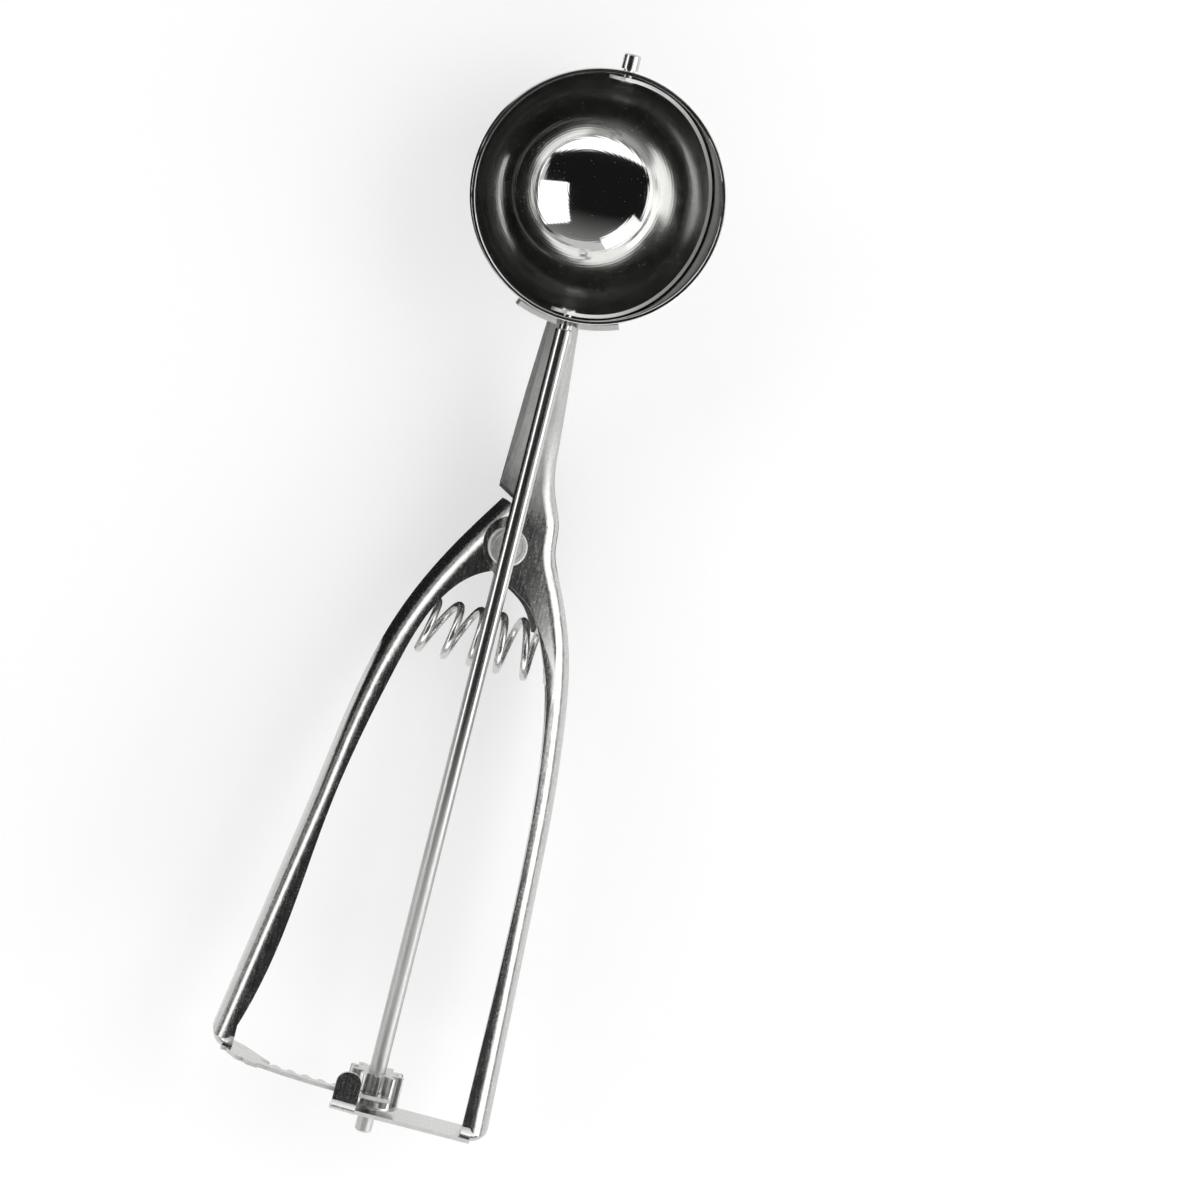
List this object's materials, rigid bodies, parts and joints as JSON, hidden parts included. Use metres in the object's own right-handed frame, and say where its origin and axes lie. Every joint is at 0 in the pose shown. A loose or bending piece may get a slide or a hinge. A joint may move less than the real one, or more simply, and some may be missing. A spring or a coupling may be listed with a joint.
{
  "type": "ice cream scoop",
  "caption": "Squeeze-handle ice cream scoop: a round bowl with a scraper blade that a rack, pinion and shaft sweep across it when the sprung handle is squeezed.",
  "frame": {"origin": "centre of the bowl's mouth, in the plane of its rim", "axes": "+Z out of the bowl's mouth, +Y along the shaft from the handles to the bowl, +X towards the fixed handle"},
  "size_m": [0.0592, 0.2216, 0.0341],
  "materials": {
    "polished_steel": "polished stainless steel",
    "satin_steel": "satin stainless steel sheet",
    "bright_steel": "bright drawn stainless steel",
    "cast_metal": "plated metal, slightly rough",
    "spring_wire": "bright spring wire"
  },
  "bodies": {
    "frame": {"bowl": "polished_steel", "fixed_handle": "satin_steel", "pivot_rivet": "bright_steel", "return_spring": "spring_wire"},
    "lever": {"moving_handle": "satin_steel"},
    "scraper": {"shaft": "bright_steel", "top_pin": "bright_steel", "scraper_blade": "polished_steel", "pinion": "cast_metal"}
  },
  "joints": [
    {"name": "squeeze", "type": "hinge", "parent": "frame", "child": "lever", "pos_m": [0, -0.0727, -0.0148], "axis": [0, 0.1015, 0.9948], "range_deg": [0, 8.01], "stiffness_Nm_per_rad": 4, "springref_deg": -8.59, "deforming": ["return_spring"]},
    {"name": "sweep", "type": "hinge", "parent": "frame", "child": "scraper", "pos_m": [0, 0, -0.0034], "axis": [0, 1, 0], "range_deg": [0, 180]}
  ],
  "couplings": [
    {"joint": "sweep", "follows": "squeeze", "ratio": 22.46}
  ]
}
